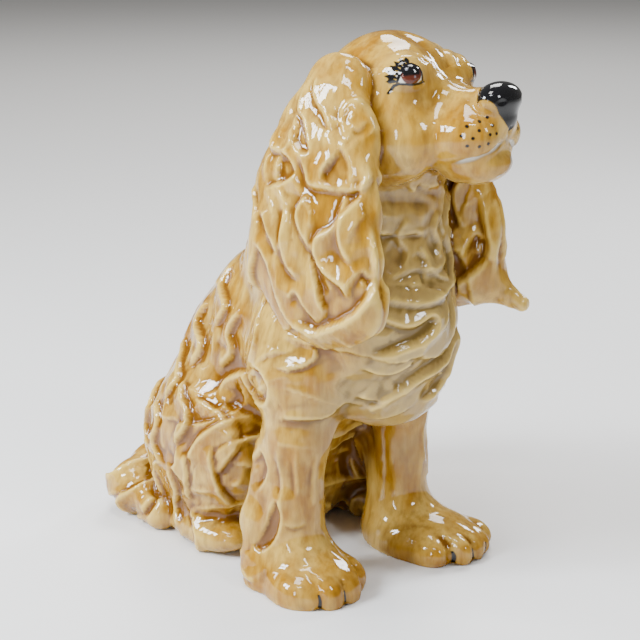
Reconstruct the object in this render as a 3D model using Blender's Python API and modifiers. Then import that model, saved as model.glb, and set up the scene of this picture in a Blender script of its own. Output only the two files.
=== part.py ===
"""Seated cocker spaniel figurine in glazed earthenware.

Nine slip castings are luted together along their seams: body, head, two ears,
two forelegs, two haunches and the tail.  The body, head and forelegs are hollow,
because slip is poured out of the mould before it sets; the thin ears and
haunches and the tail are cast solid.  The dog sits facing -Y with its head turned to
its own left (+X).  Shapes are given in millimetres, with z = 0 at the base.
"""
from collections import namedtuple
from math import atan2, hypot

import bmesh
import bpy
from mathutils import Euler, Matrix, Vector

MM = 0.001                  # metres in a millimetre
WALL = 5.0                  # thickness of the cast walls
GAP = 0.6                   # clearance left along each luted seam
NECK_SEAM = 240.0           # height where the head is luted to the body
DRAIN_RADIUS = 12.0         # hole in the base that lets kiln gases out
DRAIN_CENTRE = (-4.0, 92.0)
HEAD_CENTRE = Vector((0.0, -70.0, 327.0))
HEAD_YAW = 20.0             # degrees, head turned towards +X
HEAD_PITCH = -8.0           # degrees, muzzle lifted
FORELEGS = {"right": ((-49.0, -34.0), (-39.0, -78.0)),
            "left": ((54.0, -9.0), (78.0, -72.0))}   # column foot, tip of the toes
FORELEG_RADIUS = 18.0
FORELEG_BORE = 13.0
SIDES = {"right": -1, "left": 1}
VOXEL = 3.5                 # grain of the skins before they are simplified
BIG = 600.0                 # size of the blocks that trim a casting flat

HONEY = (0.66, 0.42, 0.17)
CREAM = (0.78, 0.62, 0.38)
CARAMEL = (0.55, 0.31, 0.11)

Ball = namedtuple("Ball", "centre radii turn")
Limb = namedtuple("Limb", "stations")

LEVEL = Matrix.Identity(3)


def turned(yaw=0.0, pitch=0.0):
    """Rotation by a pitch about X and then a yaw about Z, in degrees."""
    to_radians = 0.017453292519943295
    return Euler((pitch * to_radians, 0.0, yaw * to_radians), "XYZ").to_matrix()


HEAD_TURN = turned(HEAD_YAW, HEAD_PITCH)


def on_head(side, forward, up):
    """Point given sideways, forward and up from the middle of the skull."""
    return HEAD_CENTRE + HEAD_TURN @ Vector((side, -forward, up))


def head_ball(side, forward, up, radii):
    return Ball(on_head(side, forward, up), radii, HEAD_TURN)


# ---------------------------------------------------------------- the shapes

def head_shapes():
    shapes = [head_ball(0, 0, 2, (44, 48, 45)),           # skull
              head_ball(0, 54, -6, (19, 34, 17)),         # bridge of the muzzle
              head_ball(0, 80, -1, (17, 12, 15)),         # nose
              head_ball(0, 82, -14, (10, 10, 12)),        # groove under the nose
              head_ball(0, 56, -36, (18, 28, 13))]        # lower jaw
    for side in SIDES.values():
        shapes += [head_ball(side * 24, 31, 19, (18, 15, 14)),     # brow
                   head_ball(side * 27, 14, -18, (22, 36, 28)),    # cheek
                   head_ball(side * 13, 60, -21, (17, 28, 21))]    # upper lip
    return shapes + neck_shapes()


def neck_shapes():
    """Throat and nape, which run through the seam between head and body."""
    throat = Limb([(*on_head(0, -5, -25), 36), (2, -50, 262, 44), (4, -45, 225, 50)])
    nape = Limb([(*on_head(0, -22, -20), 36), (0, -14, 262, 47), (0, 4, 215, 54)])
    return [throat, nape, Ball((0, -32, 245), (58, 46, 48), LEVEL)]


def body_shapes():
    return [Ball((4, -64, 194), (46, 46, 52), LEVEL),                 # ruff
            Ball((12, -54, 152), (42, 34, 42), LEVEL),                # bib
            Ball((2, -32, 190), (56, 58, 66), LEVEL),                 # rib cage
            Ball((0, 22, 172), (57, 62, 66), turned(pitch=-40)),      # withers
            Ball((-1, 50, 142), (62, 66, 74), turned(pitch=-40)),     # back
            Ball((-2, 78, 114), (68, 70, 76), turned(pitch=-40)),     # loins
            Ball((-4, 94, 52), (80, 74, 70), LEVEL),                  # rump
            Ball((42, -14, 158), (30, 40, 46), LEVEL),                # left shoulder
            Ball((-42, -20, 158), (28, 40, 46), LEVEL)] + neck_shapes()


def ear_shapes(name):
    side = SIDES[name]
    shapes = [head_ball(side * 44, -4, 18, (13, 22, 20))]             # root
    if name == "right":
        return shapes + [head_ball(side * 54, -9, -12, (12, 38, 32)),
                         head_ball(side * 62, -18, -48, (13, 49, 42)),
                         head_ball(side * 68, -21, -84, (13, 51, 40)),
                         head_ball(side * 69, -12, -114, (12, 42, 26))]
    flick = Limb([(*on_head(58, -10, -104), 24), (92, -100, 194, 5)])
    return shapes + [head_ball(side * 53, -12, -12, (11, 36, 32)),
                     head_ball(side * 58, -14, -48, (11, 44, 42)),
                     head_ball(side * 61, -10, -84, (11, 46, 38)),
                     head_ball(side * 61, -12, -116, (11, 42, 26)),
                     flick]


def foreleg_shapes(name):
    side = SIDES[name]
    (x, y), (toe_x, toe_y) = FORELEGS[name]
    reach = hypot(toe_x - x, toe_y - y)
    ahead = Vector(((toe_x - x) / reach, (toe_y - y) / reach, 0.0))
    across = Vector((-ahead.y, ahead.x, 0.0))
    turn = Euler((0, 0, atan2(ahead.x, -ahead.y)), "XYZ").to_matrix()
    foot = Vector((x, y, 0.0))
    column = Limb([(x * 0.8, y - 2, 150, 26), (x * 0.95, y, 108, 20),
                   (x, y, 55, FORELEG_RADIUS), (x, y, 20, FORELEG_RADIUS + 1)])
    paw = Ball(foot + ahead * reach * 0.45 + Vector((0, 0, 14)),
               (27, reach * 0.5 + 17, 19), turn)
    fringe = Ball((x + side * 6, y + 22, 60), (14, 24, 70), LEVEL)    # feathering
    toes = []
    for sideways, back in ((-19, 19), (-7, 12), (8, 12), (20, 19)):
        middle = foot + ahead * (reach - back) + across * sideways
        toes.append(Ball(middle + Vector((0, 0, 11)), (9, 17, 12), turn))
    return [column, paw, fringe] + toes


def haunch_shapes(name):
    side = SIDES[name]
    return [Ball((side * 56, 76, 72), (38, 66, 62), turned(pitch=-20)),   # thigh
            Ball((side * 64, 62, 12), (23, 47, 18), LEVEL)]               # hind foot


def tail_shapes():
    return [Limb([(-20, 148, 27, 20), (-64, 152, 24, 20),
                  (-88, 138, 21, 19), (-84, 100, 12, 13)])]


# ------------------------------------------------------------------ the tools

def empty_the_scene():
    for thing in list(bpy.data.objects):
        bpy.data.objects.remove(thing)


def collection(name):
    group = bpy.data.collections.new(name)
    bpy.context.scene.collection.children.link(group)
    return group


def placed(centre, rotation=LEVEL, scale=(1, 1, 1)):
    """Matrix that scales, turns and then moves, from millimetres to metres."""
    size = Matrix.Diagonal((*[value * MM for value in scale], 1))
    return Matrix.Translation(Vector(centre) * MM) @ rotation.to_4x4() @ size


def add_ball(bm, ball, inset):
    radii = [radius - inset for radius in ball.radii]
    if min(radii) > 1.0:
        bmesh.ops.create_uvsphere(bm, u_segments=28, v_segments=18, radius=1.0,
                                  matrix=placed(ball.centre, ball.turn, radii))


def add_limb(bm, limb, inset):
    """Cones between the stations, with a ball at each one."""
    for station in limb.stations:
        add_ball(bm, Ball(station[:3], [station[3]] * 3, LEVEL), inset)
    for start, end in zip(limb.stations, limb.stations[1:]):
        low, high = Vector(start[:3]), Vector(end[:3])
        along = (high - low).to_track_quat("Z", "Y").to_matrix()
        bmesh.ops.create_cone(bm, cap_ends=True, segments=24,
                              radius1=(start[3] - inset) * MM,
                              radius2=(end[3] - inset) * MM,
                              depth=(high - low).length * MM,
                              matrix=placed((low + high) / 2, along, [1 / MM] * 3))


def mesh_object(name, bm, group):
    mesh = bpy.data.meshes.new(name)
    bm.to_mesh(mesh)
    bm.free()
    thing = bpy.data.objects.new(name, mesh)
    group.objects.link(thing)
    return thing


def settle(thing):
    """Turn the object's modifiers into its mesh."""
    view = bpy.context.evaluated_depsgraph_get()
    mesh = bpy.data.meshes.new_from_object(thing.evaluated_get(view))
    thing.modifiers.clear()
    thing.data = mesh


def triangle_count(thing):
    return sum(len(face.vertices) - 2 for face in thing.data.polygons)


def skin(name, shapes, group, triangles, inset=0.0, smoothing=6):
    """One closed, simplified skin around shapes that overlap."""
    bm = bmesh.new()
    for shape in shapes:
        if isinstance(shape, Ball):
            add_ball(bm, shape, inset)
        else:
            add_limb(bm, shape, inset)
    thing = mesh_object(name, bm, group)
    remesh = thing.modifiers.new("one_skin", "REMESH")
    remesh.mode = "VOXEL"
    remesh.voxel_size = VOXEL * MM
    smooth = thing.modifiers.new("soften", "SMOOTH")
    smooth.factor = 0.5
    smooth.iterations = smoothing
    settle(thing)
    fewer = thing.modifiers.new("simplify", "DECIMATE")
    fewer.ratio = triangles / triangle_count(thing)
    settle(thing)
    return thing


def block(name, centre, size, group):
    bm = bmesh.new()
    bmesh.ops.create_cube(bm, size=1.0, matrix=placed(centre, LEVEL, size))
    return mesh_object(name, bm, group)


def drain(group):
    bm = bmesh.new()
    bmesh.ops.create_cone(bm, cap_ends=True, segments=32, radius1=DRAIN_RADIUS * MM,
                          radius2=DRAIN_RADIUS * MM, depth=60 * MM,
                          matrix=placed((*DRAIN_CENTRE, 0), LEVEL, [1 / MM] * 3))
    return mesh_object("drain_cutter", bm, group)


def grown(thing, name, group):
    """Copy of a casting that is larger all round by the seam clearance."""
    copy = bpy.data.objects.new(name, thing.data.copy())
    group.objects.link(copy)
    swell = copy.modifiers.new("clearance", "DISPLACE")
    swell.strength = GAP * MM
    swell.mid_level = 0.0
    settle(copy)
    return copy


def keep_largest(thing):
    """Delete the loose crumbs that a cut leaves beside a casting."""
    bm = bmesh.new()
    bm.from_mesh(thing.data)
    unseen = set(bm.verts)
    largest = set()
    while unseen:
        island = {unseen.pop()}
        edge = list(island)
        while edge:
            vert = edge.pop()
            near = {link.other_vert(vert) for link in vert.link_edges} & unseen
            unseen -= near
            island |= near
            edge += near
        if len(island) > len(largest):
            largest = island
    bmesh.ops.delete(bm, geom=[v for v in bm.verts if v not in largest], context="VERTS")
    bm.to_mesh(thing.data)
    bm.free()


def cut(thing, *cutters):
    for cutter in cutters:
        knife = thing.modifiers.new("cut", "BOOLEAN")
        knife.operation = "DIFFERENCE"
        knife.solver = "EXACT"
        knife.object = cutter
        settle(thing)
    keep_largest(thing)


def glaze(name, colour, roughness):
    material = bpy.data.materials.new(name)
    material.use_nodes = True
    shader = material.node_tree.nodes["Principled BSDF"]
    shader.inputs["Base Color"].default_value = (*colour, 1.0)
    shader.inputs["Roughness"].default_value = roughness
    shader.inputs["Metallic"].default_value = 0.0
    shader.inputs["Coat Weight"].default_value = 1.0
    return material


def finish(thing, material):
    thing.data.materials.clear()
    thing.data.materials.append(material)
    thing.data.shade_smooth()
    thing.data.set_sharp_from_angle(angle=0.7)


# --------------------------------------------------------------- the castings

def make_body(parts, cutters, ground):
    body = skin("body_casting", body_shapes(), parts, 1700, smoothing=24)
    hollow = skin("body_hollow", body_shapes(), cutters, 420, inset=WALL, smoothing=24)
    above = block("neck_trim", (0, 0, NECK_SEAM - GAP / 2 + BIG / 2), [BIG] * 3, cutters)
    floor = block("base_wall", (0, 0, WALL - BIG / 2), [BIG] * 3, cutters)
    cut(hollow, floor)
    cut(body, ground, above)
    around = grown(body, "body_grown", cutters)
    cut(body, hollow, drain(cutters))
    return body, around


def make_head(parts, cutters):
    head = skin("head_casting", head_shapes(), parts, 1700, smoothing=9)
    hollow = skin("head_hollow", head_shapes(), cutters, 360, inset=WALL, smoothing=9)
    below = block("head_trim", (0, 0, NECK_SEAM + GAP / 2 - BIG / 2), [BIG] * 3, cutters)
    cut(head, below)
    around = grown(head, "head_grown", cutters)
    cut(head, hollow)
    return head, around


def make_foreleg(name, parts, cutters):
    leg = skin(name + "_foreleg", foreleg_shapes(name), parts, 850, smoothing=6)
    x, y = FORELEGS[name][0]
    hollow = Limb([(x, y, 26, FORELEG_BORE), (x * 0.84, y - 2, 168, FORELEG_BORE)])
    bore = skin(name + "_foreleg_bore", [hollow], cutters, 160)
    return leg, bore


def build():
    empty_the_scene()
    parts = collection("ceramic_spaniel_figurine")
    cutters = collection("cutters")
    ground = block("ground_trim", (0, 0, -BIG / 2), [BIG] * 3, cutters)

    body, around_body = make_body(parts, cutters, ground)
    head, around_head = make_head(parts, cutters)

    castings = {"body": body, "head": head}
    around_legs = {}
    around_haunches = {}
    for name in SIDES:
        leg, bore = make_foreleg(name, parts, cutters)
        cut(leg, ground)
        around_legs[name] = grown(leg, name + "_foreleg_grown", cutters)
        cut(leg, around_body, bore)
        castings[name + "_foreleg"] = leg
    for name in SIDES:
        haunch = skin(name + "_haunch", haunch_shapes(name), parts, 700, smoothing=16)
        cut(haunch, ground)
        around_haunches[name] = grown(haunch, name + "_haunch_grown", cutters)
        cut(haunch, around_body, around_legs[name])
        castings[name + "_haunch"] = haunch
    tail = skin("tail", tail_shapes(), parts, 480, smoothing=10)
    cut(tail, ground, around_body, *around_haunches.values())
    castings["tail"] = tail
    for name in SIDES:
        ear = skin(name + "_ear", ear_shapes(name), parts, 850, smoothing=9)
        cut(ear, around_head, around_body, around_legs[name])
        castings[name + "_ear"] = ear

    finishes = {"body": glaze("cream_glaze", CREAM, 0.12),
                "head": glaze("honey_glaze", HONEY, 0.10),
                "ear": glaze("caramel_glaze", CARAMEL, 0.12)}
    for name, casting in castings.items():
        finish(casting, finishes.get(name.split("_")[-1], finishes["head"]))
    for cutter in cutters.objects:
        cutter.hide_render = True
        cutter.display_type = "WIRE"
    centre_on_base(castings.values(), parts)


def centre_on_base(castings, group):
    """Hang every casting from one empty, so that the base's middle is the origin."""
    corners = [vertex.co for thing in castings for vertex in thing.data.vertices]
    middle = [(min(c[i] for c in corners) + max(c[i] for c in corners)) / 2 for i in (0, 1)]
    stand = bpy.data.objects.new("stand", None)
    stand.location = (-middle[0], -middle[1], 0.0)
    group.objects.link(stand)
    for thing in castings:
        thing.parent = stand


build()
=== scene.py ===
"""Looks of the seated spaniel figurine: one glazed skin, modelled as nine castings.

Shapes are given in millimetres in the modeller's frame, which has z = 0 on the
table; `world()` carries them into the CAD frame.  The skin is the surface where
a smooth union of the castings' distances is zero.  Fur, face and paws are carved
into it, the paint is kept in mesh attributes, and the glaze is made of nodes.
"""
from collections import namedtuple
from math import cos, hypot, pi, radians, sin

import bmesh
import bpy
import numpy as np
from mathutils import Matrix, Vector

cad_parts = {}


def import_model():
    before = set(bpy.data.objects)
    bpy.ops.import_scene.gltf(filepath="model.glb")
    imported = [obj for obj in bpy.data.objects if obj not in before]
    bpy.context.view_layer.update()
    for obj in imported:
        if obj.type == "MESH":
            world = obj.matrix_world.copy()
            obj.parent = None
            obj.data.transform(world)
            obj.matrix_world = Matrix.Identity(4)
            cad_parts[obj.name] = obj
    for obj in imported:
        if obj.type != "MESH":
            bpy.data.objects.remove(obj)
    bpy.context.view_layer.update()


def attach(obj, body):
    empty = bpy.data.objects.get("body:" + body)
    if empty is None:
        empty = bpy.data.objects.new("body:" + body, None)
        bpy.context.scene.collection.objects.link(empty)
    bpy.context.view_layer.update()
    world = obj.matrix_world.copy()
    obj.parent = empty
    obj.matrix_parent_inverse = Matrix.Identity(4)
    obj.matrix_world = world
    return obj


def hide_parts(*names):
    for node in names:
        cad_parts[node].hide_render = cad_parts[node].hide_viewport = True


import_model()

MM = 0.001  # metres in a millimetre
GRAIN = 1.35  # size of the skin's faces
FINE_CUTS = 2  # cuts across those faces where the paint is fine
FAR = 60.0  # distance stored where no shape is near
MIDDLE = np.array([-3.33, 6.38, 0.0])  # where the CAD's origin is in this frame
LOW = np.array([-125.0, -185.0, -8.0])  # corners of the grid that the skin is found on
HIGH = np.array([120.0, 190.0, 392.0])
NECK_SEAM = 240.0  # height where the head is luted to the body
SEAM_DEPTH = 5.0  # how far under the glaze each casting is closed
HEAD_CENTRE = np.array([0.0, -70.0, 327.0])
HEAD_YAW, HEAD_PITCH = 20.0, -8.0  # degrees, turned towards +X and muzzle lifted
BROW_DROP = 4.5  # how much lower the left brow and eye sit
FORELEGS = {"right": ((-49.0, -34.0), (-39.0, -78.0)),
            "left": ((54.0, -9.0), (78.0, -72.0))}  # column foot, tip of the toes
TOES = ((-25, 26), (-10, 14), (10, 12), (24, 20))  # across, and behind the tip
CLAW_LINES = {"right": (-20.0, -2.0, 18.0), "left": (-20.0, -5.0, 9.0)}  # across the paw
CLAW_START = 0.45  # share of the reach that has no claw lines
SIDES = {"right": -1, "left": 1}
DRAIN = (-4.0, 92.0, 12.0, 40.0)  # centre, radius and depth of the hole in the base

Ball = namedtuple("Ball", "centre radii turn blend")
Limb = namedtuple("Limb", "stations blend")


# ---- directions

def turned(yaw=0.0, pitch=0.0):
    """Rotation by a pitch about X, then a yaw about Z, in degrees."""
    a, b = radians(yaw), radians(pitch)
    about_z = np.array([[cos(a), -sin(a), 0], [sin(a), cos(a), 0], [0, 0, 1]])
    about_x = np.array([[1, 0, 0], [0, cos(b), -sin(b)], [0, sin(b), cos(b)]])
    return about_z @ about_x


LEVEL = np.eye(3)
HEAD_TURN = turned(HEAD_YAW, HEAD_PITCH)


def on_head(side, forward, up):
    """Point given sideways, forward and up from the middle of the skull."""
    return HEAD_CENTRE + HEAD_TURN @ np.array([side, -forward, up])


def head_frame(points):
    """Sideways, forward and up coordinates of points, seen from the skull."""
    local = (points - HEAD_CENTRE) @ HEAD_TURN
    return local[:, 0], -local[:, 1], local[:, 2]


def half_head(points, drop=0.0):
    """Outward, forward and up coordinates; drop puts the lower left brow level again."""
    side, forward, up = head_frame(points)
    return np.stack([np.abs(side), forward, up + drop * (side > 0)], 1)


def head_ball(side, forward, up, radii, blend):
    return Ball(on_head(side, forward, up), radii, HEAD_TURN, blend)


# ---- the castings' shapes

def head_shapes():
    shapes = [head_ball(0, 0, 2, (44, 47, 45), 6),  # skull
              head_ball(0, 48, -5, (18, 36, 16), 14),  # bridge
              head_ball(0, 58, -20, (14, 25, 15), 6),  # between the lips
              head_ball(0, 58, -38, (18, 24, 12), 6)]  # lower jaw
    for side in SIDES.values():
        drop = BROW_DROP if side > 0 else 0.0
        shapes += [head_ball(side * 24, 29, 19 - drop, (16, 17, 15), 9),  # brow mound
                   head_ball(side * 27, 14, -18, (22, 36, 28), 12),  # cheek
                   head_ball(side * 12, 55, -20, (17, 28, 18), 7)]  # upper lip
    shapes += [head_ball(0, 80, 0, (18, 12, 11), 4),  # nose pad
               head_ball(0, 80, -11, (12, 8, 9), 5)]
    return shapes + neck_shapes()


def neck_shapes():
    """Throat and nape, which run through the seam between head and body."""
    throat = Limb([(*on_head(0, -5, -25), 36), (2, -50, 262, 44), (4, -45, 225, 50)], 12)
    nape = Limb([(*on_head(0, -22, -20), 36), (0, -14, 262, 47), (0, 4, 215, 54)], 12)
    return [throat, nape, Ball((0, -32, 245), (58, 46, 48), LEVEL, 12)]


def body_shapes():
    return [Ball((4, -64, 194), (46, 46, 52), LEVEL, 16),  # ruff
            Ball((12, -54, 152), (42, 34, 42), LEVEL, 12),  # bib
            Ball((2, -32, 190), (56, 58, 66), LEVEL, 18),  # rib cage
            Ball((0, 22, 172), (57, 62, 66), turned(pitch=-40), 18),  # withers
            Ball((-1, 50, 142), (62, 66, 74), turned(pitch=-40), 18),  # back
            Ball((-2, 78, 114), (68, 70, 76), turned(pitch=-40), 18),  # loins
            Ball((-4, 94, 52), (80, 74, 70), LEVEL, 18),  # rump
            Ball((42, -14, 158), (30, 40, 46), LEVEL, 14),  # left shoulder
            Ball((-42, -20, 158), (28, 40, 46), LEVEL, 14)] + neck_shapes()


# The ear flaps, root to tip: out, forward and up from the skull, radii, blend.
EAR_FLAPS = {
    "right": ((44, -4, 18, (13, 22, 20), 8), (54, -9, -12, (12, 38, 32), 12),
        (62, -18, -48, (13, 49, 42), 14), (68, -21, -84, (13, 51, 40), 14),
        (69, -12, -114, (12, 42, 26), 12)),
    "left": ((44, -4, 18, (13, 22, 20), 8), (53, -12, -12, (11, 36, 32), 12),
        (58, -14, -48, (11, 44, 42), 14), (61, -10, -84, (11, 46, 38), 14),
        (61, -12, -116, (11, 42, 26), 12))}


def ear_shapes(name):
    """Ear flap, with a flicked tip on the left."""
    shapes = [head_ball(SIDES[name] * out, *rest) for out, *rest in EAR_FLAPS[name]]
    flick = Limb([(*on_head(58, -8, -100), 26), (*on_head(62, 6, -116), 18), (88, -97, 193, 6)], 8)
    return shapes + [flick] * (name == "left")


def paw_frame(name):
    """Foot of the leg's column, direction of the toes, direction across, reach."""
    (x, y), (toe_x, toe_y) = FORELEGS[name]
    reach = hypot(toe_x - x, toe_y - y)
    ahead = np.array([(toe_x - x) / reach, (toe_y - y) / reach, 0.0])
    return np.array([x, y, 0.0]), ahead, np.array([-ahead[1], ahead[0], 0.0]), reach


def on_paw(points, name):
    """How far points are towards the toes and across the paw, and the reach of the toes."""
    foot, ahead, across, reach = paw_frame(name)
    return (points - foot) @ ahead, (points - foot) @ across, reach


def foreleg_shapes(name):
    """Column, paw and toes, with feathering outside the right leg and behind the left one."""
    side = SIDES[name]
    foot, ahead, across, reach = paw_frame(name)
    x, y, _ = foot
    turn = np.array([-across, -ahead, [0, 0, 1]]).T * np.array([-1, 1, 1])
    column = Limb([(x * 0.8, y - 2, 150, 26), (x * 0.95, y, 108, 21),
                   (x, y, 62, 18), (x, y, 22, 23)], 10)
    paw = Ball(foot + ahead * reach * 0.32 + (0, 0, 5), (33, reach * 0.5 + 15, 25), turn, 16)
    web = Limb([(x * 0.85, y + 40, 130, 18), (x * 0.92, y + 24, 84, 14), (x, y + 8, 26, 14)], 12)
    fringe = Limb([(x + side * 8, y + 16, 96, 11), (x + side * 17, y + 17, 45, 11),
                   (x + side * 22, y + 10, 8, 13)], 10)
    toes = []
    for sideways, back in TOES:
        middle = foot + ahead * (reach - back) + across * sideways
        toes.append(Ball(middle + (0, 0, 8), (9, 16, 11), turn, 5))
    return [column, paw, fringe if side < 0 else web] + toes


def haunch_shapes(name):
    side = SIDES[name]
    return [Ball((side * 56, 76, 72), (38, 66, 62), turned(pitch=-20), 16),
            Ball((side * 64, 62, 12), (23, 47, 18), LEVEL, 10)]


def tail_shapes():
    return [Limb([(-20, 148, 27, 20), (-64, 152, 24, 20),
                  (-88, 138, 21, 19), (-84, 100, 12, 13)], 8)]


# Each casting's shapes, and how softly the whole casting blends into the ones before it.
CASTINGS = {
    "body_casting": (body_shapes(), 0.0), "head_casting": (head_shapes(), 8.0),
    "right_foreleg": (foreleg_shapes("right"), 16.0),
    "left_foreleg": (foreleg_shapes("left"), 14.0),
    "right_haunch": (haunch_shapes("right"), 10.0),
    "left_haunch": (haunch_shapes("left"), 10.0),
    "tail": (tail_shapes(), 6.0),
    "right_ear": (ear_shapes("right"), 2.5),
    "left_ear": (ear_shapes("left"), 2.5)}


# ---- distance to shapes

def smooth_min(a, b, blend):
    """The lesser of two distances, rounded over where they nearly agree."""
    if blend == 0:
        return np.minimum(a, b)
    share = np.clip(0.5 + 0.5 * (b - a) / blend, 0, 1)
    return b + (a - b) * share - blend * share * (1 - share)


def ball_distance(ball, axes):
    """Roughly the distance to an ellipsoid, and exact where it counts, on its surface."""
    local = [axes[k] - ball.centre[k] for k in range(3)]
    turned_in = [sum(ball.turn[j][k] * local[j] for j in range(3)) for k in range(3)]
    near = np.sqrt(sum((turned_in[k] / ball.radii[k]) ** 2 for k in range(3)))
    slope = np.sqrt(sum((turned_in[k] / ball.radii[k] ** 2) ** 2 for k in range(3)))
    return near * (near - 1) / np.maximum(slope, 1e-6)


def nearest_on(start, end, axes):
    """How far along a segment points are nearest to it, from 0 to 1, and their distance."""
    a, b = np.array(start, float), np.array(end, float)
    along = b - a
    t = sum((axis - a[k]) * along[k] for k, axis in enumerate(axes)) / max(along @ along, 1e-6)
    t = np.clip(t, 0, 1)
    return t, np.sqrt(sum((axis - a[k] - t * along[k]) ** 2 for k, axis in enumerate(axes)))


def segment_distance(start, end, axes):
    """Distance to a segment whose radius, the last number of each end, changes along it."""
    t, gap = nearest_on(start[:-1], end[:-1], axes)
    return gap - (start[-1] + t * (end[-1] - start[-1]))


def bits(shape):
    """The simple distances that a shape is made of, each with its reach."""
    if isinstance(shape, Ball):
        reach = np.sqrt(((shape.turn * np.array(shape.radii)) ** 2).sum(1))
        centre = np.array(shape.centre, float)
        yield (lambda axes: ball_distance(shape, axes)), centre - reach, centre + reach
        return
    for start, end in zip(shape.stations, shape.stations[1:]):
        ends = np.array([start[:3], end[:3]], float)
        radius = max(start[3], end[3])
        yield ((lambda axes, s=start, e=end: segment_distance(s, e, axes)),
               ends.min(0) - radius, ends.max(0) + radius)


def distance_at(shapes, points):
    """Distance from points to the smooth union of a casting's shapes."""
    axes = [points[:, k] for k in range(3)]
    total = np.full(len(points), FAR)
    for shape in shapes:
        for distance, _, _ in bits(shape):
            total = smooth_min(total, distance(axes), shape.blend)
    return total


def skin_distance(points):
    """Distance from points to the whole dog's smooth skin."""
    total = None
    for shapes, join in CASTINGS.values():
        own = distance_at(shapes, points)
        total = own if total is None else smooth_min(total, own, join)
    return trimmed(total, [points[:, k] for k in range(3)])


def trimmed(total, axes):
    """Cut the underside flat and open the drain hole in it."""
    x, y, radius, depth = DRAIN
    hole = np.maximum(np.hypot(axes[0] - x, axes[1] - y) - radius, axes[2] - depth)
    return np.maximum(np.maximum(total, -axes[2]), -hole)


def skin_grid(low, high):
    """The skin's distance on a regular grid between two corners."""
    shape = tuple(int(np.ceil((h - l) / GRAIN)) + 1 for l, h in zip(low, high))
    ticks = [low[k] + GRAIN * np.arange(shape[k], dtype=np.float32) for k in range(3)]
    total = np.full(shape, FAR, np.float32)
    for shapes, join in CASTINGS.values():
        own = np.full(shape, FAR, np.float32)
        for form in shapes:
            for distance, start, end in bits(form):
                margin = form.blend + 12.0
                a = np.maximum(((start - margin - low) / GRAIN).astype(int), 0)
                b = np.minimum(((end + margin - low) / GRAIN).astype(int) + 2, shape)
                window = tuple(slice(i, j) for i, j in zip(a, b))
                axes = np.ix_(*[ticks[k][a[k]:b[k]] for k in range(3)])
                own[window] = smooth_min(own[window], distance(axes), form.blend)
        total = smooth_min(total, own, join)
    return trimmed(total, np.ix_(*ticks))


# ---- the skin

def surface_nets(field, low):
    """Vertices and quads of the surface where the field changes sign."""
    inside = field < 0
    rows = field.shape[1] - 1, field.shape[2] - 1
    corners, places, quads = [], [], []
    for axis in range(3):
        first, second = [slice(None)] * 3, [slice(None)] * 3
        first[axis], second[axis] = slice(None, -1), slice(1, None)
        first, second = tuple(first), tuple(second)
        crossing = np.argwhere(inside[first] != inside[second])
        one, two = [k for k in range(3) if k != axis]
        a, b = field[first][tuple(crossing.T)], field[second][tuple(crossing.T)]
        place = crossing.astype(float)
        place[:, axis] += a / (a - b)
        four = []
        for step_one, step_two in ((0, 0), (-1, 0), (-1, -1), (0, -1)):
            cell = crossing.copy()
            cell[:, one] += step_one
            cell[:, two] += step_two
            four.append((cell[:, 0] * rows[0] + cell[:, 1]) * rows[1] + cell[:, 2])
        four = np.stack(four, 1)
        backward = (a >= 0) if axis != 1 else (a < 0)
        four[backward] = four[backward][:, ::-1]
        quads.append(four)
        corners.append(four.ravel())
        places.append(np.repeat(place, 4, 0))
    quads, corners, places = np.concatenate(quads), np.concatenate(corners), np.concatenate(places)
    used, where = np.unique(corners, return_inverse=True)
    count = np.bincount(where)
    verts = np.stack([np.bincount(where, weights=places[:, k]) / count for k in range(3)], 1)
    return np.array(low) + verts * GRAIN, np.searchsorted(used, quads)


def slope_at(points, step=0.4):
    """Unit outward direction of the smooth skin at each point."""
    slopes = []
    for k in range(3):
        shift = np.zeros(3)
        shift[k] = step
        slopes.append(skin_distance(points + shift) - skin_distance(points - shift))
    slopes = np.stack(slopes, 1)
    return slopes / np.maximum(np.linalg.norm(slopes, axis=1, keepdims=True), 1e-9)


def sides_of(faces):
    """Sides of quads and triangles, corner to corner, and the face that each belongs to."""
    ends = np.concatenate([faces[:, [k, (k + 1) % 4]] for k in range(4)])
    real = ends[:, 0] != ends[:, 1]  # triangles repeat their last corner
    return ends[real], np.tile(np.arange(len(faces)), 4)[real]


def edges_of(faces):
    """Unique edges of the skin."""
    return np.unique(np.sort(sides_of(faces)[0], 1), axis=0)


def relaxed(values, edges, rounds):
    """Average of a value with its neighbours', repeated."""
    flat = values.reshape(len(values), -1)
    count = np.bincount(edges.ravel(), minlength=len(values))[:, None]
    for _ in range(rounds):
        total = np.zeros_like(flat)
        for k in range(flat.shape[1]):
            total[:, k] = (np.bincount(edges[:, 0], weights=flat[edges[:, 1], k], minlength=len(flat))
                           + np.bincount(edges[:, 1], weights=flat[edges[:, 0], k], minlength=len(flat)))
        flat = 0.5 * flat + 0.5 * total / np.maximum(count, 1)
    return flat.reshape(values.shape)


# ---- noise tools

def hashed(cells, seed):
    """Repeatable number from 0 to 1 for each whole-numbered cell."""
    key = np.full(cells[0].shape, (seed * 2654435761 + 97) & 0xFFFFFFFF, np.uint32)
    for axis in cells:
        key = (key ^ axis.astype(np.int64).astype(np.uint32)) * np.uint32(0x9E3779B1)
        key ^= key >> np.uint32(15)
        key *= np.uint32(0x85EBCA6B)
        key ^= key >> np.uint32(13)
    return (key & np.uint32(0xFFFFFF)) / float(0xFFFFFF)


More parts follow.
